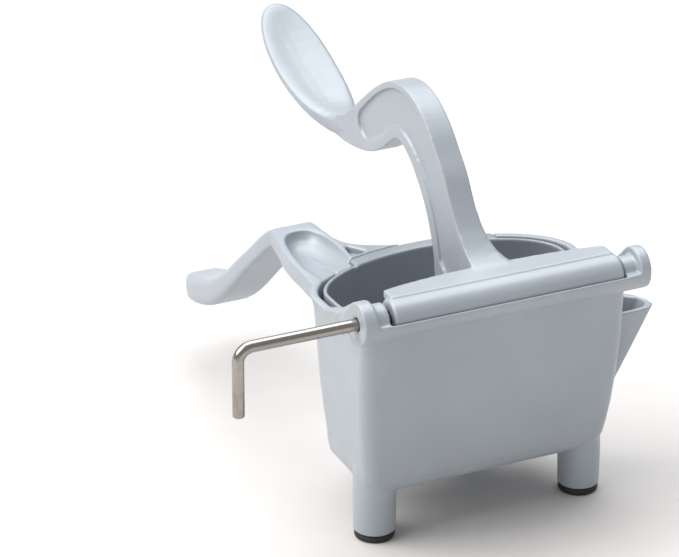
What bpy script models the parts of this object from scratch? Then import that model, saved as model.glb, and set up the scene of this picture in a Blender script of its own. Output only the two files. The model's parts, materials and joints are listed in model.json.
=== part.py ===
"""Cast aluminium lever press: potato ricer and juicer with a D-shaped bowl on feet."""

import math

import bmesh
import bpy
from mathutils import Vector

MM = 0.001

# Laid out with y back from the hinge axis and z up from 2 mm above the table, then moved by ORIGIN.
ORIGIN = Vector((18.5, -105.49, 2.0)) * MM
TABLE_Z = -2.0
HINGE_Z = 106.4 * MM
RIM_Z = 95.7 * MM
GAP = 0.3 * MM

# Outside of the bowl: height, half width, front face, back face, half width at the front corners.
BOWL_OUTSIDE = (
    (19.6, 47.5, 14.0, 62.0, 47.5),
    (20.5, 51.0, 10.8, 66.0, 51.5),
    (23.0, 53.0, 8.8, 69.0, 54.4),
    (27.0, 53.9, 7.2, 71.0, 56.0),
    (33.0, 54.3, 6.0, 72.6, 56.8),
    (42.0, 55.5, 4.8, 74.4, 58.0),
    (56.0, 57.1, 3.4, 76.6, 59.2),
    (74.0, 58.4, 2.0, 78.8, 60.0),
    (90.0, 59.7, 1.0, 80.6, 60.2),
    (95.7, 61.4, 0.8, 82.0, 60.4),
)
# Inner faces: height, half width, front face, back face.
BOWL_INSIDE = (
    (24.0, 40.0, 19.0, 57.0),
    (26.0, 45.6, 14.5, 64.0),
    (31.0, 49.8, 11.4, 68.0),
    (43.0, 52.0, 9.0, 71.0),
    (57.0, 53.8, 7.4, 73.2),
    (95.7, 57.8, 4.6, 78.4),
)
BASKET_OUTSIDE = (
    (30.5, 40.0, 20.0, 56.0),
    (32.5, 45.6, 15.5, 63.5),
    (43.5, 50.2, 12.2, 69.2),
    (57.0, 52.6, 10.6, 71.8),
    (95.7, 55.4, 9.0, 77.2),
)
BASKET_WALL = 1.8
BASKET_FLOOR = 2.2
BOWL_MIDDLE_Y = 49.0
BOWL_CORNER = 6.0
RAMP_START_Y = 38.0
RAMP_TOP_Y = 12.0
RAMP_RISE = 9.6

TAB_LEFT = -31.5
TAB_RIGHT = 35.0
TAB_THICK = 2.4

FOOT_RADIUS = 8.9
FOOT_CAP_RADIUS = 8.5
FOOT_RECESS = 5.2
# Height, extra radius and lean towards the middle of the bowl.
FOOT_LEVELS = (
    (1.4, 0.0, 0.0),
    (16.0, 0.2, 0.0),
    (28.0, 0.4, 0.4),
    (40.0, -0.4, 2.0),
    (52.0, -3.0, 5.6),
)
FEET = {
    "front_left": (-48.1, 17.4),
    "front_right": (48.1, 17.4),
    "rear_left": (-21.0, 67.0),
    "rear_right": (21.0, 67.0),
}

LUG_RADIUS = 9.0
LUG_OUTER = 65.0
LUG_LEFT_INNER = -58.8
LUG_RIGHT_INNER = 60.2
TROUGH_INNER_RADIUS = 8.1
TROUGH_LIP = 0.7
BOSS_LEFT_END = -52.9
BOSS_RIGHT_END = 54.2

BAR_RADIUS = 7.6
BAR_LEFT = -50.8
BAR_RIGHT = 53.2
FLANGE_TOP = 8.4
FLANGE_THICK = 3.4
FLANGE_END_Y = 8.2
FLANGE_MID_Y = 12.6

ARM_LEFT = -7.5
ARM_RIGHT = 3.5
ARM_MIDDLE = (ARM_LEFT + ARM_RIGHT) / 2
ARM_RECESS = 1.3

# Height, sideways reach, front and back of the flare at the foot of the arm.
GUSSET_LEVELS = (
    (6.0, 6.8, 7.6, 12.4),
    (8.4, 6.4, 8.9, 14.0),
    (9.4, 5.0, 11.5, 17.0),
    (11.4, 3.1, 15.3, 21.6),
    (15.0, 1.5, 20.1, 26.6),
    (20.0, 0.45, 25.3, 31.8),
    (25.0, 0.06, 29.2, 35.8),
)

PIN_RADIUS = 2.5
PIN_BORE = 2.85
PIN_LENGTH = 135.5
PIN_DRAWN_OUT = 51.5
PIN_LEG = 30.0
PIN_BEND = 6.0

PIVOT_Y = 41.0
PIVOT_DROP = 25.0
PIVOT_RADIUS = 2.5
PLATE_DROP = 33.0
PLATE_THICK = 5.0
PLATE_FRONT = 22.0
PLATE_BACK = 62.0
PLATE_HALF_WIDTH = 44.0

HANDLE_LEFT = -51.5
HANDLE_RIGHT = -30.0
DISH_MIDDLE_X = -41.0
DISH_DEPTH = 6.4
# Distance back, underside height and half width of the rib below the neck.
KEEL_STATIONS = (
    (58.0, 78.0, 8.0),
    (78.0, 80.5, 8.0),
    (92.0, 83.0, 8.0),
    (108.0, 86.8, 8.0),
)
NECK_THICK = 8.2


def material(name, colour, metallic, roughness):
    shade = bpy.data.materials.new(name)
    shade.use_nodes = True
    shader = shade.node_tree.nodes["Principled BSDF"]
    shader.inputs["Base Color"].default_value = (*colour, 1.0)
    shader.inputs["Metallic"].default_value = metallic
    shader.inputs["Roughness"].default_value = roughness
    return shade


def mesh_object(name, points, faces):
    """A mesh from points in millimetres, with its normals turned outward."""
    data = bpy.data.meshes.new(name)
    data.from_pydata([Vector(p) * MM for p in points], [], faces)
    work = bmesh.new()
    work.from_mesh(data)
    bmesh.ops.remove_doubles(work, verts=work.verts, dist=1e-6)
    bmesh.ops.recalc_face_normals(work, faces=work.faces)
    work.to_mesh(data)
    work.free()
    obj = bpy.data.objects.new(name, data)
    bpy.context.scene.collection.objects.link(obj)
    return obj


def loft(name, rings):
    """A closed solid through rings of equally many points, capped at both ends."""
    count = len(rings[0])
    points = [p for ring in rings for p in ring]
    faces = []
    for level in range(len(rings) - 1):
        for k in range(count):
            a = level * count + k
            b = level * count + (k + 1) % count
            faces.append((a, b, b + count, a + count))
    last = (len(rings) - 1) * count
    faces.append(tuple(range(count)))
    faces.append(tuple(last + k for k in range(count)))
    return mesh_object(name, points, faces)


def prism_x(name, outline, left, right):
    """An outline of (y, z) points, extruded along X."""
    return loft(name, [[(x, y, z) for y, z in outline] for x in (left, right)])


def prism_z(name, outline, low, high):
    """An outline of (x, y) points, extruded along Z."""
    return loft(name, [[(x, y, z) for x, y in outline] for z in (low, high)])


def box(name, low, high):
    outline = [(low[0], low[1]), (high[0], low[1]), (high[0], high[1]), (low[0], high[1])]
    return prism_z(name, outline, low[2], high[2])


def arc(centre, radius, start, end, steps):
    """Points on a circular arc, angles in degrees."""
    found = []
    for k in range(steps + 1):
        t = math.radians(start + (end - start) * k / steps)
        found.append((centre[0] + radius * math.cos(t), centre[1] + radius * math.sin(t)))
    return found


def rod_x(name, radius, left, right, y, z, steps=40, chamfer=0.0):
    """A round bar along X, with chamfered ends where asked."""
    stations = [(left, radius - chamfer), (right, radius - chamfer)]
    if chamfer:
        stations[1:1] = [(left + chamfer, radius), (right - chamfer, radius)]
    rings = []
    for x, r in stations:
        rings.append([(x, py, pz) for py, pz in arc((y, z), r, 0, 360, steps)[:-1]])
    return loft(name, rings)


def rod_z(name, radius, x, y, low, high, steps=32):
    return prism_z(name, arc((x, y), radius, 0, 360, steps)[:-1], low, high)


def smooth_curve(knots, steps):
    """A Catmull-Rom curve through the knots, a few points to each span."""
    ends = [tuple(2 * a - b for a, b in zip(knots[0], knots[1]))]
    ends.append(tuple(2 * a - b for a, b in zip(knots[-1], knots[-2])))
    line = [ends[0], *knots, ends[1]]
    found = []
    for k in range(1, len(line) - 2):
        p0, p1, p2, p3 = line[k - 1 : k + 3]
        for s in range(steps):
            t = s / steps
            point = []
            for a, b, c, d in zip(p0, p1, p2, p3):
                cubic = (3 * b - a - 3 * c + d) * t**3
                square = (2 * a - 5 * b + 4 * c - d) * t**2
                point.append(0.5 * (2 * b + (c - a) * t + square + cubic))
            found.append(tuple(point))
    found.append(tuple(knots[-1]))
    return found


def boolean(obj, other, operation):
    """Joins or cuts with EXACT, keeps the result and drops the helper."""
    modifier = obj.modifiers.new("shape", "BOOLEAN")
    modifier.operation = operation
    modifier.solver = "EXACT"
    modifier.object = other
    bpy.context.view_layer.update()
    graph = bpy.context.evaluated_depsgraph_get()
    result = bpy.data.meshes.new_from_object(obj.evaluated_get(graph))
    obj.modifiers.clear()
    obj.data = result
    bpy.data.objects.remove(other)


def join(obj, *others):
    for other in others:
        boolean(obj, other, "UNION")


def cut(obj, *others):
    for other in others:
        boolean(obj, other, "DIFFERENCE")


def bowl_outline(half_width, front, back, half_front=None, corner=11.0):
    """The D-shaped plan: flat front, nearly straight sides, elliptical back."""
    half_front = half_front or half_width - 1.6
    middle = BOWL_MIDDLE_Y
    right = [(half_front * f, front) for f in (0.0, 0.25, 0.5)]
    right += arc((half_front - corner, front + corner), corner, -90, 0, 7)
    start = front + corner
    for f in (0.25, 0.5, 0.75):
        swell = (half_width - half_front) * math.sin(math.radians(90 * f))
        right.append((half_front + swell, start + (middle - start) * f))
    for k in range(0, 20):
        t = math.radians(90 * k / 20)
        square = 2 / 1.95
        x = half_width * math.cos(t) ** square
        right.append((x, middle + (back - middle) * math.sin(t) ** square))
    left = [(-x, y) for x, y in reversed(right[1:])]
    return right + [(0.0, back)] + left


def ramp(y):
    """How far the side rims climb towards the hinge lugs."""
    f = min(1.0, max(0.0, (RAMP_START_Y - y) / (RAMP_START_Y - RAMP_TOP_Y)))
    return RAMP_RISE * f * f * (3 - 2 * f)


def cup(name, outside, inside):
    """An open-topped vessel from its outside and inside levels."""
    rings = []
    for z, half_width, front, back in (*outside, *reversed(inside)):
        rings.append([(x, y, z) for x, y in bowl_outline(half_width, front, back)])
    return loft(name, rings)


def bowl_block():
    """The outside of the bowl as a solid, its rim climbing at both sides."""
    rings = []
    for z, half_width, front, back, half_front in BOWL_OUTSIDE:
        outline = bowl_outline(half_width, front, back, half_front, BOWL_CORNER)
        rings.append([(x, y, z) for x, y in outline])
    z, half_width, front, back, _ = BOWL_OUTSIDE[-1]
    rings[-1] = [(x, y, z + ramp(y)) for x, y, z in rings[-1]]
    inset = bowl_outline(half_width - 7.0, front + 7.0, back - 7.0)
    rings.append([(x, y, ring_z) for (x, y), (_, _, ring_z) in zip(inset, rings[-1])])
    centre = bowl_outline(half_width - 9.0, front + 9.0, back - 9.0)
    rings.append([(x, y, z - 8.0) for x, y in centre])
    return loft("bowl_body", rings)


def bowl_space():
    """Everything inside the bowl wall, carried on above the rim."""
    z, half_width, front, back = BOWL_INSIDE[-1]
    return cup("space", (*BOWL_INSIDE, (z + 30.0, half_width, front, back)), ())


def hinge_housing():
    """Half-round trough with a thin front lip, joined to the front wall."""
    axis = (0.0, HINGE_Z / MM)
    outline = arc(axis, LUG_RADIUS, 178, 318, 24)
    outline.append((12.0, axis[1] - 3.0))
    outline.append((12.0, axis[1] - 1.6))
    outline.append((6.0, axis[1] + TROUGH_LIP))
    outline.append((-LUG_RADIUS, axis[1] + TROUGH_LIP))
    housing = prism_x("housing", outline, LUG_LEFT_INNER - 1.0, LUG_RIGHT_INNER + 1.0)
    return housing


def lug(name, inner, outer):
    """A round lug whose back runs down to the rim in a slope."""
    axis_z = HINGE_Z / MM
    outline = arc((0.0, axis_z), LUG_RADIUS, 48, 318, 44)
    outline.append((16.0, axis_z - 12.0))
    outline.append((16.0, axis_z - 3.4))
    return prism_x(name, outline, inner, outer)


def lower_neck():
    """Flat neck that carries the lower handle, at the height of the rim."""
    top = RIM_Z / MM
    left = smooth_curve(
        [(-56.0, 58.0), (-55.1, 72.0), (-54.7, 86.0), (-53.3, 97.0), (-51.5, 105.0), (-49.4, 116.0)], 3
    )
    knee = [(-48.9, 118.6), (-47.6, 119.6), (-30.6, 119.6), (-29.6, 118.8)]
    right = smooth_curve(
        [
            (-29.2, 116.0),
            (-28.7, 108.0),
            (-27.8, 100.0),
            (-25.6, 94.4),
            (-21.6, 90.0),
            (-14.0, 85.6),
            (-4.0, 82.2),
        ],
        3,
    )
    outline = left + knee + right + [(-10.0, 76.0), (-45.0, 62.0)]
    return prism_z("neck", outline, top - NECK_THICK, top)


def neck_keel():
    """Deep rib under the neck that widens into the bowl wall."""
    rings = []
    middle = -41.0
    for y, low, half in KEEL_STATIONS:
        outline = [(middle + half, 92.0), (middle - half, 92.0)]
        outline += arc((middle - half + 6.0, low + 6.0), 6.0, 180, 270, 5)
        outline += arc((middle + half - 6.0, low + 6.0), 6.0, 270, 360, 5)
        rings.append([(x, y, z) for x, z in outline])
    return loft("keel", rings)


def lower_handle():
    """Strap that drops from the knee and thickens into the grip."""
    centre = smooth_curve(
        [
            (108.0, 91.9, 3.6),
            (116.0, 91.9, 3.6),
            (121.6, 90.0, 3.7),
            (129.4, 83.4, 3.7),
            (139.2, 74.0, 3.6),
            (151.8, 63.0, 4.0),
            (165.2, 51.2, 4.9),
            (178.0, 41.8, 5.9),
            (190.4, 35.0, 6.5),
            (203.0, 30.6, 6.4),
            (213.0, 28.6, 5.6),
            (219.0, 28.0, 3.4),
        ],
        2,
    )
    rings = []
    for k, (y, z, half) in enumerate(centre):
        before = centre[max(0, k - 1)]
        after = centre[min(len(centre) - 1, k + 1)]
        along = Vector((0, after[0] - before[0], after[1] - before[1])).normalized()
        up = Vector((0, -along.z, along.y))
        spread = 1.0 if y < 205 else math.sqrt(max(0.08, 1 - ((y - 205) / 14.6) ** 2))
        left = HANDLE_LEFT + 2.6 * min(1.0, max(0.0, (142.0 - y) / 22.0))
        wide = (HANDLE_RIGHT - left) / 2 * spread
        middle = Vector(((left + HANDLE_RIGHT) / 2, y, z))
        soft = min(half * 0.55, 1.2 + max(0.0, half - 3.6) * 1.6)
        ring = []
        for sx, sz, start in ((1, 1, 0), (-1, 1, 90), (-1, -1, 180), (1, -1, 270)):
            corner = arc((sx * (wide - soft), sz * (half - soft)), soft, start, start + 90, 3)
            ring += [tuple(middle + Vector((a, 0, 0)) + up * b) for a, b in corner]
        rings.append(ring)
    return loft("strap", rings)


def dish_cutter():
    """Long hollow with a steep rim, sunk in the neck and open towards the bowl."""
    rim = smooth_curve(
        [
            (-50.4, 60.0),
            (-51.6, 72.0),
            (-51.8, 82.0),
            (-50.7, 93.0),
            (-48.6, 104.0),
            (-45.2, 110.7),
            (-40.3, 112.9),
            (-35.4, 112.0),
            (-32.3, 108.6),
            (-30.6, 102.0),
            (-30.0, 92.0),
            (-30.5, 80.0),
            (-31.7, 66.0),
        ],
        3,
    )
    profile = ((1.0, 0.12), (0.96, 0.4), (0.83, 0.66), (0.58, 0.86), (0.24, 0.97), (0.0, 1.0))
    rings = []
    for depth, shrink in profile:
        ring = []
        for x, y in rim:
            middle = min(y, 100.0)
            f = min(1.0, max(0.0, (y - 66.0) / 30.0))
            full = DISH_DEPTH * (0.12 + 0.88 * f * f * (3 - 2 * f))
            px = DISH_MIDDLE_X + (x - DISH_MIDDLE_X) * shrink
            py = middle + (y - middle) * shrink
            ring.append((px, py, RIM_Z / MM - full * depth))
        rings.append(ring)
    rings.append([(x, y, RIM_Z / MM + 3.0) for x, y, _ in rings[-1]])
    return loft("dish", rings)


def corner_pocket():
    """Small three-sided hollow between the dish and the rim."""
    outline = [(-27.6, 90.0), (-26.4, 89.8), (-21.6, 82.8), (-22.2, 81.7), (-28.0, 80.2), (-28.8, 81.0)]
    return prism_z("pocket", outline, RIM_Z / MM - 3.6, RIM_Z / MM + 3.0)


def tab_notch():
    """Seat in the bowl's rim for the basket's wide tab."""
    left = TAB_LEFT - GAP / MM
    right = TAB_RIGHT + GAP / MM
    outline = [(right, 62.0), (left, 62.0)]
    for k in range(25):
        x = left + (right - left) * k / 24
        rise = (1 - (abs(x) / 61.8) ** 1.95) ** (1 / 1.95)
        outline.append((x, BOWL_MIDDLE_Y + 33.4 * rise))
    return prism_z("notch", outline, RIM_Z / MM - TAB_THICK - 0.3, 120.0)


def spout(name, shrink, low, high):
    """Side chute: a rounded mouth that narrows down to the wall."""
    mouth = [(50.0, 14.0), (73.0, 14.0), (79.2, 14.8), (82.0, 17.6), (81.6, 22.6)]
    mouth += [(78.6, 28.6), (72.6, 34.2), (64.0, 38.4), (50.0, 40.6)]
    rings = []
    for f in (1.0, 0.82, 0.6, 0.36, 0.14, 0.0):
        z = low + (high - low) * f
        ring = []
        for x, y in mouth:
            reach = 53.0 + (x - 53.0) * (0.12 + 0.88 * f**0.92)
            wide = 24.0 + (y - 24.0) * (0.55 + 0.45 * f)
            if x > 50.0:
                reach -= shrink * (0.8 if x > 70 else 0.2)
            side = 1 if wide < 24.0 else -1
            ring.append((reach if x > 50.0 else 50.0, wide + side * shrink, z))
        rings.append(ring)
    return loft(name, rings)


def foot(x, y):
    """Round stub whose top leans inward and dies into the bowl wall."""
    inward = -1.0 if x > 0 else 1.0
    back = 1.0 if y < 40 else -1.0
    rings = []
    for z, extra, lean in FOOT_LEVELS:
        centre = (x + inward * lean, y + back * lean)
        circle = arc(centre, FOOT_RADIUS + extra, 0, 360, 36)[:-1]
        rings.append([(px, py, z) for px, py in circle])
    return loft("foot", rings)


def make_bowl(shade):
    axis_z = HINGE_Z / MM
    body = bowl_block()
    for x, y in FEET.values():
        join(body, foot(x, y))
    join(body, hinge_housing())
    join(body, lower_neck(), neck_keel(), lower_handle())
    join(body, spout("chute", 0.0, 30.6, 78.2))
    cut(body, bowl_space())
    cut(body, spout("channel", 2.0, 36.0, 80.0))
    cut(body, dish_cutter(), corner_pocket())
    join(body, lug("lug_left", -LUG_OUTER, LUG_LEFT_INNER))
    join(body, lug("lug_right", LUG_RIGHT_INNER, LUG_OUTER))
    cut(body, rod_x("clear", TROUGH_INNER_RADIUS, BOSS_LEFT_END, BOSS_RIGHT_END, 0.0, axis_z, 44))
    low = (LUG_LEFT_INNER, -12.0, axis_z + TROUGH_LIP)
    cut(body, box("above", low, (LUG_RIGHT_INNER, 30.0, axis_z + 20.0)))
    join(body, rod_x("boss_left", 6.9, -60.0, BOSS_LEFT_END, 0.0, axis_z, 32))
    join(body, rod_x("boss_right", 5.6, BOSS_RIGHT_END, 61.5, 0.0, axis_z, 32))
    cut(body, rod_x("bore", PIN_BORE, -80.0, 80.0, 0.0, axis_z, 28))
    cut(body, tab_notch())
    for x, y in FEET.values():
        cut(body, rod_z("socket", FOOT_RECESS, x, y, TABLE_Z, TABLE_Z + 9.4, 24))
    body.data.materials.append(shade)
    return body


def make_basket(shade):
    inside = []
    for k, (z, half_width, front, back) in enumerate(BASKET_OUTSIDE):
        low = z + BASKET_FLOOR if k < len(BASKET_OUTSIDE) - 1 else z
        wall = BASKET_WALL
        inside.append((low, half_width - wall, front + wall, back - wall))
    basket = cup("strainer_basket", BASKET_OUTSIDE, inside)
    top = RIM_Z / MM
    outer = [(x, y) for x, y in bowl_outline(61.4, 0.8, 82.0, 60.4) if y > 60]
    outer = [p for p in outer if TAB_LEFT < p[0] < TAB_RIGHT]
    inner = [(x, y) for x, y in bowl_outline(54.4, 9.0, 76.2) if y > 55]
    inner = [p for p in inner if TAB_LEFT < p[0] < TAB_RIGHT]
    side_right = [(TAB_RIGHT, 68.0), (TAB_RIGHT, 75.9)]
    side_left = [(TAB_LEFT, 77.0), (TAB_LEFT, 69.0)]
    outline = side_right + outer + side_left + list(reversed(inner))
    join(basket, prism_z("tab", outline, top - TAB_THICK, top))
    for row in range(5):
        y = 25.0 + 8.4 * row
        reach = (34.0, 38.0, 38.0, 34.0, 21.0)[row]
        count = int(reach // 8.4)
        offset = 4.2 if row % 2 else 0.0
        for k in range(-count, count + 1):
            x = 8.4 * k + offset
            if abs(x) < reach:
                cut(basket, rod_z("hole", 2.1, x, y, 20.0, 46.0, 8))
    basket.data.materials.append(shade)
    return basket


def arm_outline():
    """The lever seen from its side, as (y, height above the axis) points."""
    top = smooth_curve(
        [
            (3.0, 7.2),
            (8.6, 8.4),
            (12.8, 10.0),
            (17.0, 12.6),
            (21.0, 16.0),
            (25.4, 20.4),
            (31.4, 28.4),
            (37.8, 38.2),
            (44.4, 45.2),
            (51.6, 52.6),
            (61.4, 59.4),
            (71.6, 62.9),
            (81.0, 63.3),
            (91.4, 60.6),
            (102.6, 54.0),
            (113.6, 45.6),
            (124.6, 36.6),
            (133.4, 30.0),
            (142.0, 26.2),
        ],
        4,
    )
    under = smooth_curve(
        [
            (142.0, 17.0),
            (129.0, 17.6),
            (115.4, 20.0),
            (104.5, 23.6),
            (96.0, 28.4),
            (88.0, 34.6),
            (80.4, 38.6),
            (70.6, 34.6),
            (61.4, 26.4),
            (54.4, 17.4),
            (49.6, 8.2),
            (46.6, 0.0),
            (45.4, -10.0),
            (46.8, -22.0),
        ],
        4,
    )
    eye = arc((PIVOT_Y, -PIVOT_DROP), 6.6, 20, -160, 12)
    front = smooth_curve([(33.6, -22.0), (27.0, -13.0), (16.0, -6.0), (3.0, -2.4)], 3)
    return top + under + eye + front


def pocket_outline():
    """The sunk field on each side of the arm."""
    top = smooth_curve(
        [
            (20.6, 9.6),
            (27.4, 18.4),
            (33.8, 27.2),
            (40.2, 36.6),
            (46.8, 43.4),
            (54.0, 50.4),
            (63.0, 56.6),
            (72.0, 59.9),
            (80.4, 60.3),
            (90.0, 57.9),
            (100.6, 51.8),
            (110.0, 44.4),
            (117.6, 37.6),
        ],
        4,
    )
    end = smooth_curve([(119.6, 34.4), (118.4, 29.4), (113.0, 26.4), (106.6, 27.4)], 3)
    under = smooth_curve(
        [
            (98.2, 32.8),
            (89.6, 39.2),
            (80.0, 43.4),
            (68.2, 39.6),
            (57.6, 30.6),
            (49.6, 20.2),
            (44.4, 9.6),
            (41.0, -1.0),
        ],
        4,
    )
    return top + end + under + [(34.0, -7.0), (25.0, -1.0)]


def palm_rest():
    """Spoon-shaped rest that grows out of the arm and rises to its tip."""
    spine = smooth_curve(
        [
            (126.0, 26.4, 5.5, 5.4),
            (137.0, 22.4, 5.9, 5.2),
            (147.0, 20.6, 8.0, 4.9),
            (158.0, 21.6, 11.0, 4.6),
            (169.0, 24.4, 13.0, 4.3),
            (181.0, 28.6, 13.9, 4.1),
            (193.0, 33.8, 13.7, 3.9),
            (204.0, 39.4, 12.2, 3.7),
            (212.0, 44.2, 9.6, 3.3),
            (217.0, 47.6, 6.2, 2.6),
            (219.2, 49.2, 2.4, 1.3),
        ],
        2,
    )
    rings = []
    for k, (y, z, half, thick) in enumerate(spine):
        before = spine[max(0, k - 1)]
        after = spine[min(len(spine) - 1, k + 1)]
        along = Vector((0, after[0] - before[0], after[1] - before[1])).normalized()
        up = Vector((0, -along.z, along.y))
        dished = max(0.0, min(1.0, (half - 7.0) / 6.0))
        ring = []
        for step in range(28):
            t = math.radians(360 * step / 28)
            a = half * math.copysign(abs(math.cos(t)) ** 0.72, math.cos(t))
            b = thick * math.copysign(abs(math.sin(t)) ** 0.8, math.sin(t))
            across = a / half
            if b > 0:
                b *= 1.0 - 0.42 * dished * (1 - across * across)
            b += 1.5 * dished * across * across
            point = Vector((ARM_MIDDLE + a, y, z)) + up * b
            ring.append(tuple(point))
        rings.append(ring)
    return loft("palm", rings)


def lever_flange():
    """Flat strip on the back of the bar, widest where the arm stands."""
    left = BAR_LEFT + 1.6
    right = BAR_RIGHT - 1.6
    outline = [(right, 0.6), (right, FLANGE_END_Y)]
    for k in range(1, 20):
        f = k / 20
        x = right + (left - right) * f
        bow = 4 * f * (1 - f)
        outline.append((x, FLANGE_END_Y + (FLANGE_MID_Y - FLANGE_END_Y) * bow**0.8))
    outline += [(left, FLANGE_END_Y), (left, 0.6)]
    return prism_z("flange", outline, FLANGE_TOP - FLANGE_THICK, FLANGE_TOP)


def arm_gusset():
    """Flare on the right of the arm that dies away up its side."""
    rings = []
    for z, reach, front, back in GUSSET_LEVELS:
        rings.append(
            [
                (ARM_RIGHT - 1.5, front, z),
                (ARM_RIGHT + reach * 0.7, front, z),
                (ARM_RIGHT + reach, front + 1.0, z),
                (ARM_RIGHT + reach, back - 1.0, z),
                (ARM_RIGHT + reach * 0.5, back, z),
                (ARM_RIGHT - 1.5, back + 0.6, z),
            ]
        )
    return loft("gusset", rings)


def make_lever(shade):
    lever = rod_x("press_lever", BAR_RADIUS, BAR_LEFT, BAR_RIGHT, 0.0, 0.0, 44, 0.8)
    join(lever, lever_flange())
    web = prism_x("web", arm_outline(), ARM_LEFT, ARM_RIGHT)
    cut(web, prism_x("field", pocket_outline(), ARM_LEFT - 5.0, ARM_LEFT + ARM_RECESS))
    cut(web, prism_x("field", pocket_outline(), ARM_RIGHT - ARM_RECESS, ARM_RIGHT + 5.0))
    join(lever, web)
    join(lever, arm_gusset(), palm_rest())
    cut(lever, rod_x("bore", PIN_BORE, -80.0, 80.0, 0.0, 0.0, 28))
    pivot_bore = PIVOT_RADIUS + GAP / MM
    cut(lever, rod_x("pivot_bore", pivot_bore, -20.0, 20.0, PIVOT_Y, -PIVOT_DROP, 24))
    lever.location = (0.0, 0.0, HINGE_Z)
    lever.data.materials.append(shade)
    return lever


def make_press_plate(shade):
    """Flat D-shaped presser with a forked post that hangs from the arm."""
    low = -PLATE_DROP
    outline = [(x, y - PIVOT_Y) for x, y in bowl_outline(PLATE_HALF_WIDTH, PLATE_FRONT, PLATE_BACK)]
    small = [(x * 0.97, y * 0.96) for x, y in outline]
    rings = [
        [(x, y, low - PLATE_THICK) for x, y in small],
        [(x, y, low - PLATE_THICK + 1.0) for x, y in outline],
        [(x, y, low) for x, y in outline],
    ]
    plate = loft("press_plate", rings)
    gap = 0.4
    for side in (-1, 1):
        inner = (ARM_LEFT if side < 0 else ARM_RIGHT) + side * gap
        cheek = arc((0.0, 0.0), 6.2, 0, 180, 14)
        cheek += [(-7.4, low + 8.0), (-12.0, low - 1.0), (12.0, low - 1.0), (7.4, low + 8.0)]
        join(plate, prism_x("cheek", cheek, *sorted((inner, inner + side * 4.0))))
    for x in (-24.0, 20.0):
        rib = [(-14.0, low - 1.0), (14.0, low - 1.0), (11.0, low + 3.0), (-11.0, low + 3.0)]
        join(plate, prism_x("rib", rib, x - 1.5, x + 1.5))
    cut(plate, rod_x("bore", PIVOT_RADIUS + GAP / MM, -20.0, 20.0, 0.0, 0.0, 24))
    plate.location = (0.0, PIVOT_Y * MM, HINGE_Z - PIVOT_DROP * MM)
    plate.data.materials.append(shade)
    return plate


def make_pivot_pin(shade):
    """Rivet through the fork and the arm."""
    left = ARM_LEFT - 4.4
    right = ARM_RIGHT + 4.4
    pin = rod_x("plate_pivot_pin", PIVOT_RADIUS, left - 0.6, right + 0.6, 0.0, 0.0, 24)
    join(pin, rod_x("head", 4.2, left - 2.0, left - 0.3, 0.0, 0.0, 24, 0.5))
    join(pin, rod_x("head", 4.2, right + 0.3, right + 2.0, 0.0, 0.0, 24, 0.5))
    pin.location = (0.0, PIVOT_Y * MM, HINGE_Z - PIVOT_DROP * MM)
    pin.data.materials.append(shade)
    return pin


def make_hinge_pin(shade):
    """L-shaped stainless pin, drawn part of the way out of the hinge."""
    bend_x = -LUG_OUTER - PIN_DRAWN_OUT
    path = [Vector((bend_x + PIN_LENGTH, 0, 0)), Vector((bend_x + PIN_LENGTH - 1.0, 0, 0))]
    turn = [(bend_x + PIN_BEND, -PIN_BEND)]
    for x, z in arc(turn[0], PIN_BEND, 90, 180, 9):
        path.append(Vector((x, 0, z)))
    path.append(Vector((bend_x, 0, -PIN_LEG + 0.8)))
    path.append(Vector((bend_x, 0, -PIN_LEG)))
    rings = []
    for k, point in enumerate(path):
        before = path[max(0, k - 1)]
        after = path[min(len(path) - 1, k + 1)]
        along = (after - before).normalized()
        side = Vector((0, 1, 0))
        up = along.cross(side)
        radius = PIN_RADIUS - (0.7 if k in (0, len(path) - 1) else 0.0)
        ring = []
        for step in range(24):
            t = math.radians(15 * step)
            ring.append(tuple(point + side * radius * math.cos(t) + up * radius * math.sin(t)))
        rings.append(ring)
    pin = loft("hinge_pin", rings)
    pin.location = (0.0, 0.0, HINGE_Z)
    pin.data.materials.append(shade)
    return pin


def make_foot_cap(name, x, y, shade):
    """Rubber button pushed up into the foot."""
    plug = FOOT_RECESS - GAP / MM
    rings = []
    profile = (
        (0.0, FOOT_CAP_RADIUS - 1.0),
        (1.0, FOOT_CAP_RADIUS),
        (2.5, FOOT_CAP_RADIUS),
        (3.1, FOOT_CAP_RADIUS - 0.3),
        (3.1, plug),
        (8.4, plug),
        (9.0, plug - 0.6),
    )
    for z, radius in profile:
        rings.append([(px, py, z) for px, py in arc((0.0, 0.0), radius, 0, 360, 32)[:-1]])
    cap = loft(name, rings)
    cap.location = (x * MM, y * MM, TABLE_Z * MM)
    cap.data.materials.append(shade)
    return cap


def shade_smooth(obj, angle=38.0):
    """Smooth faces, with edges sharper than the angle kept crisp."""
    for face in obj.data.polygons:
        face.use_smooth = True
    work = bmesh.new()
    work.from_mesh(obj.data)
    for edge in work.edges:
        if len(edge.link_faces) == 2 and edge.calc_face_angle() > math.radians(angle):
            edge.smooth = False
    work.to_mesh(obj.data)
    work.free()


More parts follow.
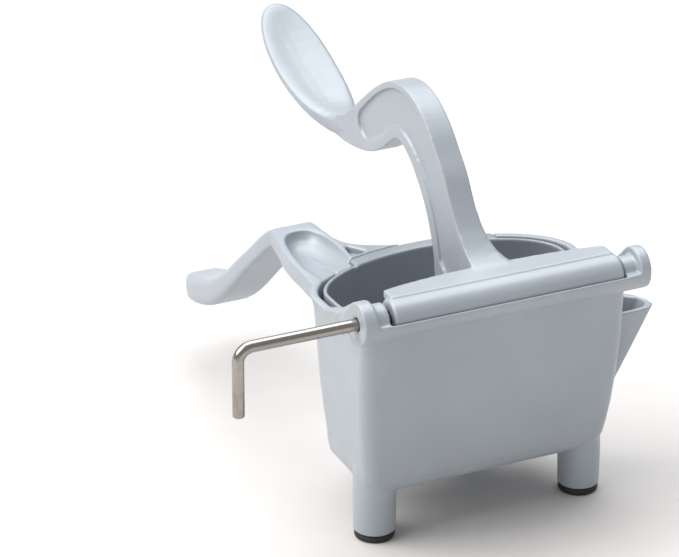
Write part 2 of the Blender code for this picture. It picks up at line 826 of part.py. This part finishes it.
def main():
    for obj in list(bpy.data.objects):
        bpy.data.objects.remove(obj)
    paint = material("painted_casting", (0.42, 0.47, 0.52), 0.0, 0.42)
    lever_paint = material("painted_lever", (0.44, 0.49, 0.54), 0.0, 0.42)
    liner = material("painted_basket", (0.40, 0.45, 0.50), 0.0, 0.45)
    presser = material("painted_presser", (0.42, 0.47, 0.52), 0.0, 0.45)
    steel = material("stainless_pin", (0.62, 0.60, 0.57), 1.0, 0.22)
    rivet = material("steel_rivet", (0.55, 0.55, 0.55), 1.0, 0.3)
    rubber = material("black_rubber", (0.02, 0.02, 0.022), 0.0, 0.7)
    pieces = [
        make_bowl(paint),
        make_basket(liner),
        make_lever(lever_paint),
        make_press_plate(presser),
        make_pivot_pin(rivet),
        make_hinge_pin(steel),
    ]
    for place, (x, y) in FEET.items():
        pieces.append(make_foot_cap("foot_cap_" + place, x, y, rubber))
    for obj in pieces:
        shade_smooth(obj)
        obj.location += ORIGIN


main()
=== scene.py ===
import json
import math

import bmesh
import bpy
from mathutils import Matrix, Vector


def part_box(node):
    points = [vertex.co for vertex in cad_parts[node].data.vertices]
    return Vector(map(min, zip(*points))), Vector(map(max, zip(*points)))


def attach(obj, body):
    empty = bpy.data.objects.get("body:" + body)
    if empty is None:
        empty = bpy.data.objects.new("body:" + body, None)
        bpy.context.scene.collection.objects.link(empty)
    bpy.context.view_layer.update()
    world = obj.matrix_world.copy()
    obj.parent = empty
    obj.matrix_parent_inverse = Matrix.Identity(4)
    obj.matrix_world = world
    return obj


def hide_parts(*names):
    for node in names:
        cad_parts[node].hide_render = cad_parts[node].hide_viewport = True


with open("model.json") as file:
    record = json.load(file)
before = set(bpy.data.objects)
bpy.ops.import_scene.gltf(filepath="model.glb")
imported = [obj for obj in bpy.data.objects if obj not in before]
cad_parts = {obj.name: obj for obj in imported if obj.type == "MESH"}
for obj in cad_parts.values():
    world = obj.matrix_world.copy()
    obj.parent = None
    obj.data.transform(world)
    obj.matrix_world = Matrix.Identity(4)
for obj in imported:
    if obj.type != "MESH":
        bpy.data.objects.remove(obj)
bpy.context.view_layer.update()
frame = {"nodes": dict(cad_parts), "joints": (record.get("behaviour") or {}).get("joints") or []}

MM = 0.001
HINGE = Vector(frame["joints"][0]["pos_m"])

# One coat on all castings; the basket's is painted darker, as painted shade for its place deep in the
# bowl, and the basket and the plate are more worn.
COAT = (0.388, 0.428, 0.470)
COAT_DARK = (0.356, 0.394, 0.436)
COAT_WORN = (0.50, 0.535, 0.575)

# The lens and the place of the camera, measured from the middle of the hinge.
CAMERA_FROM_HINGE = Vector((-0.6224, -1.1695, 0.6361))
CAMERA_FORWARD = Vector((0.3844, 0.8173, -0.42926))
CAMERA_LENS = 192.22

PIN_BEND = 6 * MM


def node(tree, kind, place, **sockets):
    """A shader node with some of its inputs set."""
    made = tree.nodes.new(kind)
    made.location = place
    for name, value in sockets.items():
        made.inputs[name.replace("_", " ")].default_value = value
    return made


def new_material(name):
    """An empty material, its node tree and its Principled shader."""
    made = bpy.data.materials.new(name)
    made.use_nodes = True
    tree = made.node_tree
    shader = tree.nodes["Principled BSDF"]
    return made, tree, shader


def noise(tree, place, scale, detail, roughness=0.5):
    made = node(tree, "ShaderNodeTexNoise", place, Scale=scale, Detail=detail, Roughness=roughness)
    coordinates = tree.nodes.new("ShaderNodeTexCoord")
    tree.links.new(coordinates.outputs["Object"], made.inputs["Vector"])
    return made


def ramp(tree, place, source, stops):
    """A colour ramp over a value, from (position, colour) stops."""
    made = tree.nodes.new("ShaderNodeValToRGB")
    made.location = place
    elements = made.color_ramp.elements
    while len(elements) < len(stops):
        elements.new(0.5)
    for element, (position, colour) in zip(elements, stops):
        element.position = position
        element.color = (*colour, 1.0)
    tree.links.new(source, made.inputs["Fac"])
    return made


def mix(tree, place, factor, a, b, blend="MIX"):
    made = tree.nodes.new("ShaderNodeMix")
    made.data_type = "RGBA"
    made.blend_type = blend
    made.location = place
    for socket, value in ((made.inputs["Factor"], factor), (made.inputs["A"], a), (made.inputs["B"], b)):
        if isinstance(value, bpy.types.NodeSocket):
            tree.links.new(value, socket)
        elif isinstance(value, float):
            socket.default_value = value
        else:
            socket.default_value = (*value, 1.0)
    return made.outputs["Result"]


def coated_casting(name, wear, grain, painted_shade=1.0):
    """Satin powder coat over a casting: soft mottling, orange peel, pale worn edges."""
    made, tree, shader = new_material(name)
    # A value below 1 here darkens the whole coat: painted shade, for a part that sits in shadow.
    coat = tuple(painted_shade * c for c in COAT)
    dark = tuple(painted_shade * c for c in COAT_DARK)
    mottle = noise(tree, (-1100, 400), 26.0, 4.0)
    tone = ramp(tree, (-900, 400), mottle.outputs["Fac"], ((0.3, dark), (0.62, coat)))
    geometry = tree.nodes.new("ShaderNodeNewGeometry")
    geometry.location = (-1100, 100)
    edge = ramp(
        tree,
        (-900, 100),
        geometry.outputs["Pointiness"],
        ((0.515, (0.0, 0.0, 0.0)), (0.60, (1.0, 1.0, 1.0))),
    )
    breakup = noise(tree, (-1100, -150), 420.0, 3.0)
    patchy = ramp(
        tree,
        (-900, -150),
        breakup.outputs["Fac"],
        ((0.42, (0.0, 0.0, 0.0)), (0.66, (wear, wear, wear))),
    )
    worn = mix(tree, (-600, 0), 1.0, edge.outputs["Color"], patchy.outputs["Color"], "MULTIPLY")
    colour = mix(tree, (-400, 300), worn, tone.outputs["Color"], COAT_WORN)
    tree.links.new(colour, shader.inputs["Base Color"])
    fine = noise(tree, (-1100, -400), 1500.0, 2.0, 0.6)
    peel = noise(tree, (-1100, -650), 330.0, 2.0, 0.45)
    gloss = ramp(
        tree,
        (-900, -400),
        peel.outputs["Fac"],
        ((0.2, (0.34, 0.34, 0.34)), (0.8, (0.46, 0.46, 0.46))),
    )
    tree.links.new(gloss.outputs["Color"], shader.inputs["Roughness"])
    height = mix(tree, (-600, -550), 0.6, fine.outputs["Color"], peel.outputs["Color"])
    bump = node(tree, "ShaderNodeBump", (-300, -500), Strength=grain, Distance=0.0004)
    tree.links.new(height, bump.inputs["Height"])
    tree.links.new(bump.outputs["Normal"], shader.inputs["Normal"])
    shader.inputs["Metallic"].default_value = 0.12
    shader.inputs["Specular IOR Level"].default_value = 0.55
    shader.inputs["Coat Weight"].default_value = 0.12
    shader.inputs["Coat Roughness"].default_value = 0.3
    return made


def steel_with_painted_reflection_bands(name, colour, scale):
    """Bright drawn stainless rod with fine lines along it and a few darker bands, which are painted
    reflections.
    """
    made, tree, shader = new_material(name)
    streaks_and_reflection_bands = noise(tree, (-900, 200), 60.0, 6.0, 0.7)
    mapping = node(tree, "ShaderNodeMapping", (-1100, 200))
    mapping.inputs["Scale"].default_value = scale
    coordinates = tree.nodes.new("ShaderNodeTexCoord")
    tree.links.new(coordinates.outputs["Object"], mapping.inputs["Vector"])
    tree.links.new(mapping.outputs["Vector"], streaks_and_reflection_bands.inputs["Vector"])
    # dark is the colour of the painted reflection bands: dark surroundings mirrored in the rod, painted
    # into its base colour; the fine lines in bump and roughness are the drawing marks.
    dark = tuple(c * 0.62 for c in colour)
    tone = ramp(tree, (-600, 300), streaks_and_reflection_bands.outputs["Fac"], ((0.3, dark), (0.7, colour)))
    tree.links.new(tone.outputs["Color"], shader.inputs["Base Color"])
    gloss = ramp(
        tree,
        (-600, 0),
        streaks_and_reflection_bands.outputs["Fac"],
        ((0.3, (0.34, 0.34, 0.34)), (0.7, (0.16, 0.16, 0.16))),
    )
    tree.links.new(gloss.outputs["Color"], shader.inputs["Roughness"])
    bump = node(tree, "ShaderNodeBump", (-300, -200), Strength=0.12, Distance=0.0002)
    tree.links.new(streaks_and_reflection_bands.outputs["Fac"], bump.inputs["Height"])
    tree.links.new(bump.outputs["Normal"], shader.inputs["Normal"])
    shader.inputs["Metallic"].default_value = 1.0
    return made


def moulded_rubber(name):
    """Matt black rubber with a fine sandy grain."""
    made, tree, shader = new_material(name)
    grain = noise(tree, (-900, 0), 1100.0, 3.0)
    tone = ramp(
        tree,
        (-600, 200),
        grain.outputs["Fac"],
        ((0.35, (0.012, 0.012, 0.013)), (0.75, (0.035, 0.034, 0.034))),
    )
    tree.links.new(tone.outputs["Color"], shader.inputs["Base Color"])
    bump = node(tree, "ShaderNodeBump", (-300, -200), Strength=0.35, Distance=0.0003)
    tree.links.new(grain.outputs["Fac"], bump.inputs["Height"])
    tree.links.new(bump.outputs["Normal"], shader.inputs["Normal"])
    shader.inputs["Roughness"].default_value = 0.62
    return made


def paper_floor(name):
    """Seamless white studio paper."""
    made, tree, shader = new_material(name)
    fibre = noise(tree, (-900, 0), 40.0, 5.0)
    tone = ramp(
        tree,
        (-600, 0),
        fibre.outputs["Fac"],
        ((0.3, (0.655, 0.634, 0.622)), (0.7, (0.675, 0.654, 0.642))),
    )
    tree.links.new(tone.outputs["Color"], shader.inputs["Base Color"])
    shader.inputs["Roughness"].default_value = 0.7
    shader.inputs["Specular IOR Level"].default_value = 0.2
    return made


def dress(name, material):
    """Gives a CAD node its one finished material."""
    data = frame["nodes"][name].data
    data.materials.clear()
    data.materials.append(material)
    for face in data.polygons:
        face.material_index = 0
        face.use_smooth = True


def soften(name, voxel, passes):
    """Rounds every edge of a casting, as the sand mould and the coat do."""
    obj = frame["nodes"][name]
    remesh = obj.modifiers.new("even_mesh", "REMESH")
    remesh.mode = "VOXEL"
    remesh.voxel_size = voxel
    remesh.use_smooth_shade = True
    smooth = obj.modifiers.new("rounded", "SMOOTH")
    smooth.factor = 0.5
    smooth.iterations = passes


def skin(name, rings):
    """A closed solid through rings of equally many points; only its flat ends are faceted."""
    work = bmesh.new()
    loops = [[work.verts.new(point) for point in ring] for ring in rings]
    sides = len(loops[0])
    for a, b in zip(loops, loops[1:]):
        for k in range(sides):
            n = (k + 1) % sides
            work.faces.new((a[k], a[n], b[n], b[k]))
    work.faces.new(loops[0])
    work.faces.new(loops[-1])
    bmesh.ops.recalc_face_normals(work, faces=work.faces)
    data = bpy.data.meshes.new(name)
    work.to_mesh(data)
    work.free()
    for face in data.polygons:
        face.use_smooth = len(face.vertices) == 4
    obj = bpy.data.objects.new(name, data)
    bpy.context.scene.collection.objects.link(obj)
    return obj


def tube(name, path, radius, sides, ends):
    """A round rod along a path, its ends rounded over."""
    rings = []
    last = len(path) - 1
    side = Vector((0.0, 1.0, 0.0))
    for k, point in enumerate(path):
        along = (path[min(last, k + 1)] - path[max(0, k - 1)]).normalized()
        up = along.cross(side)
        from_end = min(k, last - k)
        size = radius * ends[from_end] if from_end < len(ends) else radius
        ring = []
        for step in range(sides):
            t = 2 * math.pi * step / sides
            ring.append(point + side * size * math.cos(t) + up * size * math.sin(t))
        rings.append(ring)
    return skin(name, rings)


def lathe(name, profile, x, y, sides):
    """A turned piece about an upright axis, from (radius, height) points."""
    rings = []
    for radius, z in profile:
        ring = []
        for step in range(sides):
            t = 2 * math.pi * step / sides
            ring.append((x + radius * math.cos(t), y + radius * math.sin(t), z))
        rings.append(ring)
    return skin(name, rings)


def make_pin(material):
    """The L-shaped hinge pin with a true round section and a smooth bend."""
    low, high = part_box("hinge_pin")
    radius = (high.y - low.y) / 2
    y = (low.y + high.y) / 2
    z = high.z - radius
    left = low.x + radius
    bend = PIN_BEND
    path = [Vector((high.x - d * MM, y, z)) for d in (0.0, 0.15, 0.45, 1.0)]
    path += [Vector((left + bend + (high.x - left - bend) * f, y, z)) for f in (0.6, 0.3, 0.1)]
    for k in range(17):
        t = math.radians(90 + 90 * k / 16)
        path.append(Vector((left + bend + bend * math.cos(t), y, z - bend + bend * math.sin(t))))
    path.append(Vector((left, y, z - bend - 6 * MM)))
    path += [Vector((left, y, low.z + d * MM)) for d in (1.0, 0.45, 0.15, 0.0)]
    pin = tube("round_hinge_pin", path, radius, 48, (0.72, 0.86, 0.96))
    pin.data.materials.append(material)
    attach(pin, "pin")
    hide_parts("hinge_pin")
    return pin


def make_cap(place, material):
    """A moulded foot cap with a rounded tread edge and a shallow ring below."""
    name = "foot_cap_" + place
    low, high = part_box(name)
    x = (low.x + high.x) / 2
    y = (low.y + high.y) / 2
    r = (high.x - low.x) / 2
    profile = [(r * 0.34, 0.25), (r * 0.40, 0.0), (r - 1.2 * MM, 0.0), (r - 0.5 * MM, 0.15)]
    profile += [(r - 0.12 * MM, 0.55), (r, 1.1), (r, 2.3), (r - 0.12 * MM, 2.7), (r - 0.4 * MM, 3.0)]
    profile += [(r - 0.9 * MM, 3.1), (4.9 * MM, 3.1), (4.9 * MM, 8.4), (4.3 * MM, 9.0)]
    cap = lathe("tread_" + place, [(radius, height * MM) for radius, height in profile], x, y, 64)
    cap.data.materials.append(material)
    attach(cap, "stand")
    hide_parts(name)
    return cap


def far_light(name, towards, strength, angle, colour):
    """A very large soft box far away, lighting the whole floor evenly."""
    lamp = bpy.data.lights.new(name, "SUN")
    lamp.energy = strength
    lamp.angle = math.radians(angle)
    lamp.color = colour
    obj = bpy.data.objects.new(name, lamp)
    obj.location = (0.0, 0.0, 2.0)
    obj.rotation_euler = Vector(towards).to_track_quat("Z", "Y").to_euler()
    bpy.context.scene.collection.objects.link(obj)


def studio():
    """White paper floor, weak sky, a broad key from the left and a soft box overhead."""
    bpy.ops.mesh.primitive_plane_add(size=8.0, location=(0.0, 1.0, 0.0))
    floor = bpy.context.object
    floor.name = "studio_floor"
    floor.data.materials.append(paper_floor("studio_paper"))
    world = bpy.data.worlds.new("studio_sky")
    world.use_nodes = True
    background = world.node_tree.nodes["Background"]
    background.inputs["Color"].default_value = (0.97, 0.985, 1.0, 1.0)
    background.inputs["Strength"].default_value = 0.42
    bpy.context.scene.world = world
    bpy.context.scene.view_settings.view_transform = "Standard"
    far_light("key", (-0.62, 0.18, 0.68), 2.7, 50.0, (1.0, 0.985, 0.965))
    far_light("overhead", (0.14, 0.36, 0.92), 2.4, 60.0, (0.98, 0.99, 1.0))


def photo_camera():
    """A long lens from the front left, well above the rim."""
    data = bpy.data.cameras.new("camera")
    data.sensor_width = 36.0
    data.lens = CAMERA_LENS
    data.clip_end = 50.0
    camera = bpy.data.objects.new("camera", data)
    camera.location = HINGE + CAMERA_FROM_HINGE
    camera.rotation_euler = CAMERA_FORWARD.to_track_quat("-Z", "Y").to_euler()
    bpy.context.scene.collection.objects.link(camera)
    bpy.context.scene.camera = camera


def main():
    body_coat = coated_casting("satin_coat_body", 0.40, 0.13)
    lever_coat = coated_casting("satin_coat_lever", 0.50, 0.20)
    # The basket's coat is made 0.82 times darker: painted shade for its place deep inside the bowl.
    basket_coat_painted_shade = coated_casting("satin_coat_basket_painted_shade", 0.45, 0.14, 0.82)
    plate_coat = coated_casting("satin_coat_plate", 0.55, 0.16)
    dress("bowl_body", body_coat)
    dress("press_lever", lever_coat)
    dress("strainer_basket", basket_coat_painted_shade)
    dress("press_plate", plate_coat)
    rivet = steel_with_painted_reflection_bands("rivet_steel", (0.52, 0.52, 0.53), (0.1, 1.0, 1.0))
    dress("plate_pivot_pin", rivet)
    soften("bowl_body", 0.0006, 4)
    soften("press_lever", 0.00048, 3)
    soften("strainer_basket", 0.0006, 3)
    soften("press_plate", 0.0007, 4)
    # The pin's dark, warm steel colour and its dark lengthwise bands are painted reflection of dark
    # surroundings.
    make_pin(steel_with_painted_reflection_bands("drawn_stainless_painted_reflections", (0.44, 0.41, 0.38), (0.08, 7.0, 1.2)))
    rubber = moulded_rubber("foot_rubber")
    for place in ("front_left", "front_right", "rear_left", "rear_right"):
        make_cap(place, rubber)
    photo_camera()
    studio()


main()
